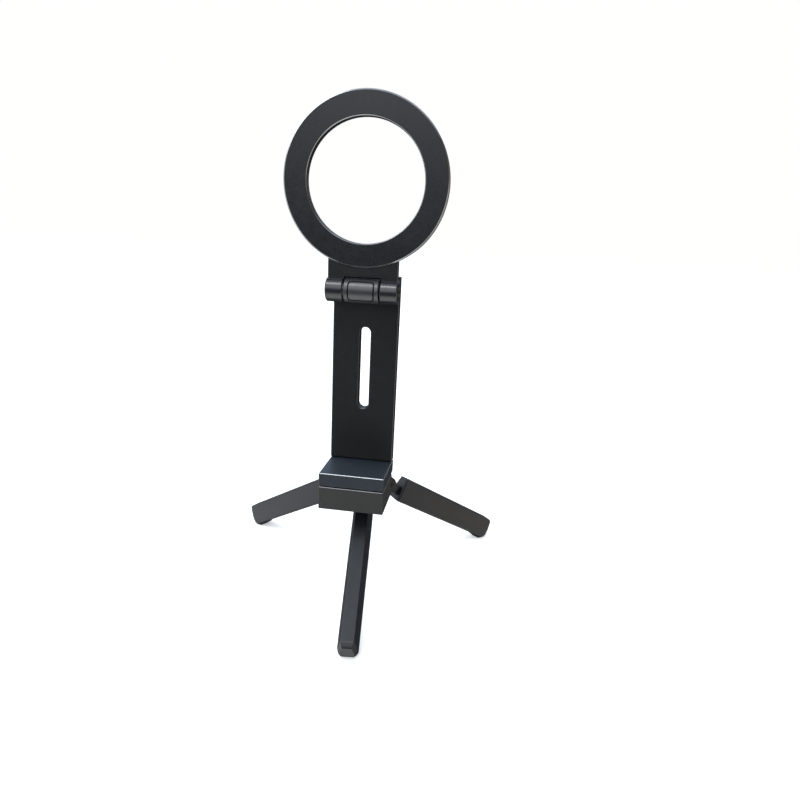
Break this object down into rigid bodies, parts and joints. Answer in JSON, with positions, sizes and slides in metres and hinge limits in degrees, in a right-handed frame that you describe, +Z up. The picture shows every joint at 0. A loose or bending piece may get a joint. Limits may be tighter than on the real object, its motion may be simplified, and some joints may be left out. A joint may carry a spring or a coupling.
{
  "type": "magnetic ring phone stand",
  "caption": "Folding tabletop stand: open magnetic ring on a friction hinge, slotted flat arm, two-part foot and folding three-legged base, in satin black metal.",
  "frame": {"origin": "on the floor, under the middle of the stand's bounding box", "axes": "+Z up, the ring's magnetic face looks along -Y, +X to the right as seen from the front of the ring's face"},
  "size_m": [0.1232, 0.1136, 0.1943],
  "materials": {
    "black_metal": "satin black anodised",
    "ring_face": "fine matt black",
    "leg_metal": "satin dark grey anodised",
    "steel": "bright zinc",
    "magnet": "nickel plated",
    "brass": "turned",
    "rubber": "matt black"
  },
  "bodies": {
    "tripod": {"tripod_hub": "black_metal", "tripod_stud": "steel", "hub_nut": "steel", "head_pad": "rubber", "leg_pin_front": "steel", "leg_pin_left": "steel", "leg_pin_right": "steel"},
    "lock_ring": {"lock_ring": "black_metal"},
    "front_leg": {"leg_front": "leg_metal", "foot_pad_front": "rubber"},
    "left_leg": {"leg_left": "leg_metal", "foot_pad_left": "rubber"},
    "right_leg": {"leg_right": "leg_metal", "foot_pad_right": "rubber"},
    "bracket": {"arm": "black_metal", "hinge_cover": "black_metal", "foot_slab": "black_metal", "foot_block": "black_metal", "arm_screw_left": "steel", "arm_screw_right": "steel", "block_screw_left": "steel", "block_screw_right": "steel", "thread_insert": "brass"},
    "ring_head": {"ring_cover": "ring_face", "ring_frame": "black_metal", "shunt_ring": "steel", "hinge_screw": "steel", "hinge_nut": "steel", "friction_washer_left": "steel", "friction_washer_right": "steel", "magnet_01": "magnet", "magnet_02": "magnet", "magnet_03": "magnet", "magnet_04": "magnet", "magnet_05": "magnet", "magnet_06": "magnet", "magnet_07": "magnet", "magnet_08": "magnet", "magnet_09": "magnet", "magnet_10": "magnet", "magnet_11": "magnet", "magnet_12": "magnet"}
  },
  "joints": [
    {"name": "bracket_swivel", "type": "hinge", "parent": "tripod", "child": "bracket", "pos_m": [0.00381, 0.01343, 0.0478], "axis": [0, 0, 1], "range_deg": [-180, 180]},
    {"name": "ring_tilt", "type": "hinge", "parent": "bracket", "child": "ring_head", "pos_m": [0.00381, -0.00957, 0.1259], "axis": [1, 0, 0], "range_deg": [-38, 180]},
    {"name": "lock_ring_turn", "type": "hinge", "parent": "tripod", "child": "lock_ring", "pos_m": [0.00381, 0.01343, 0.0458], "axis": [0, 0, 1], "range_deg": [0, 120]},
    {"name": "front_leg_fold", "type": "hinge", "parent": "tripod", "child": "front_leg", "pos_m": [0.00489, 0.00399, 0.0382], "axis": [0.9936, 0.1132, 0], "range_deg": [0, 59]},
    {"name": "left_leg_fold", "type": "hinge", "parent": "tripod", "child": "left_leg", "pos_m": [-0.0049, 0.01722, 0.0382], "axis": [-0.3987, -0.9171, 0], "range_deg": [0, 59]},
    {"name": "right_leg_fold", "type": "hinge", "parent": "tripod", "child": "right_leg", "pos_m": [0.01145, 0.01908, 0.0382], "axis": [-0.5948, 0.8039, 0], "range_deg": [0, 59]}
  ]
}
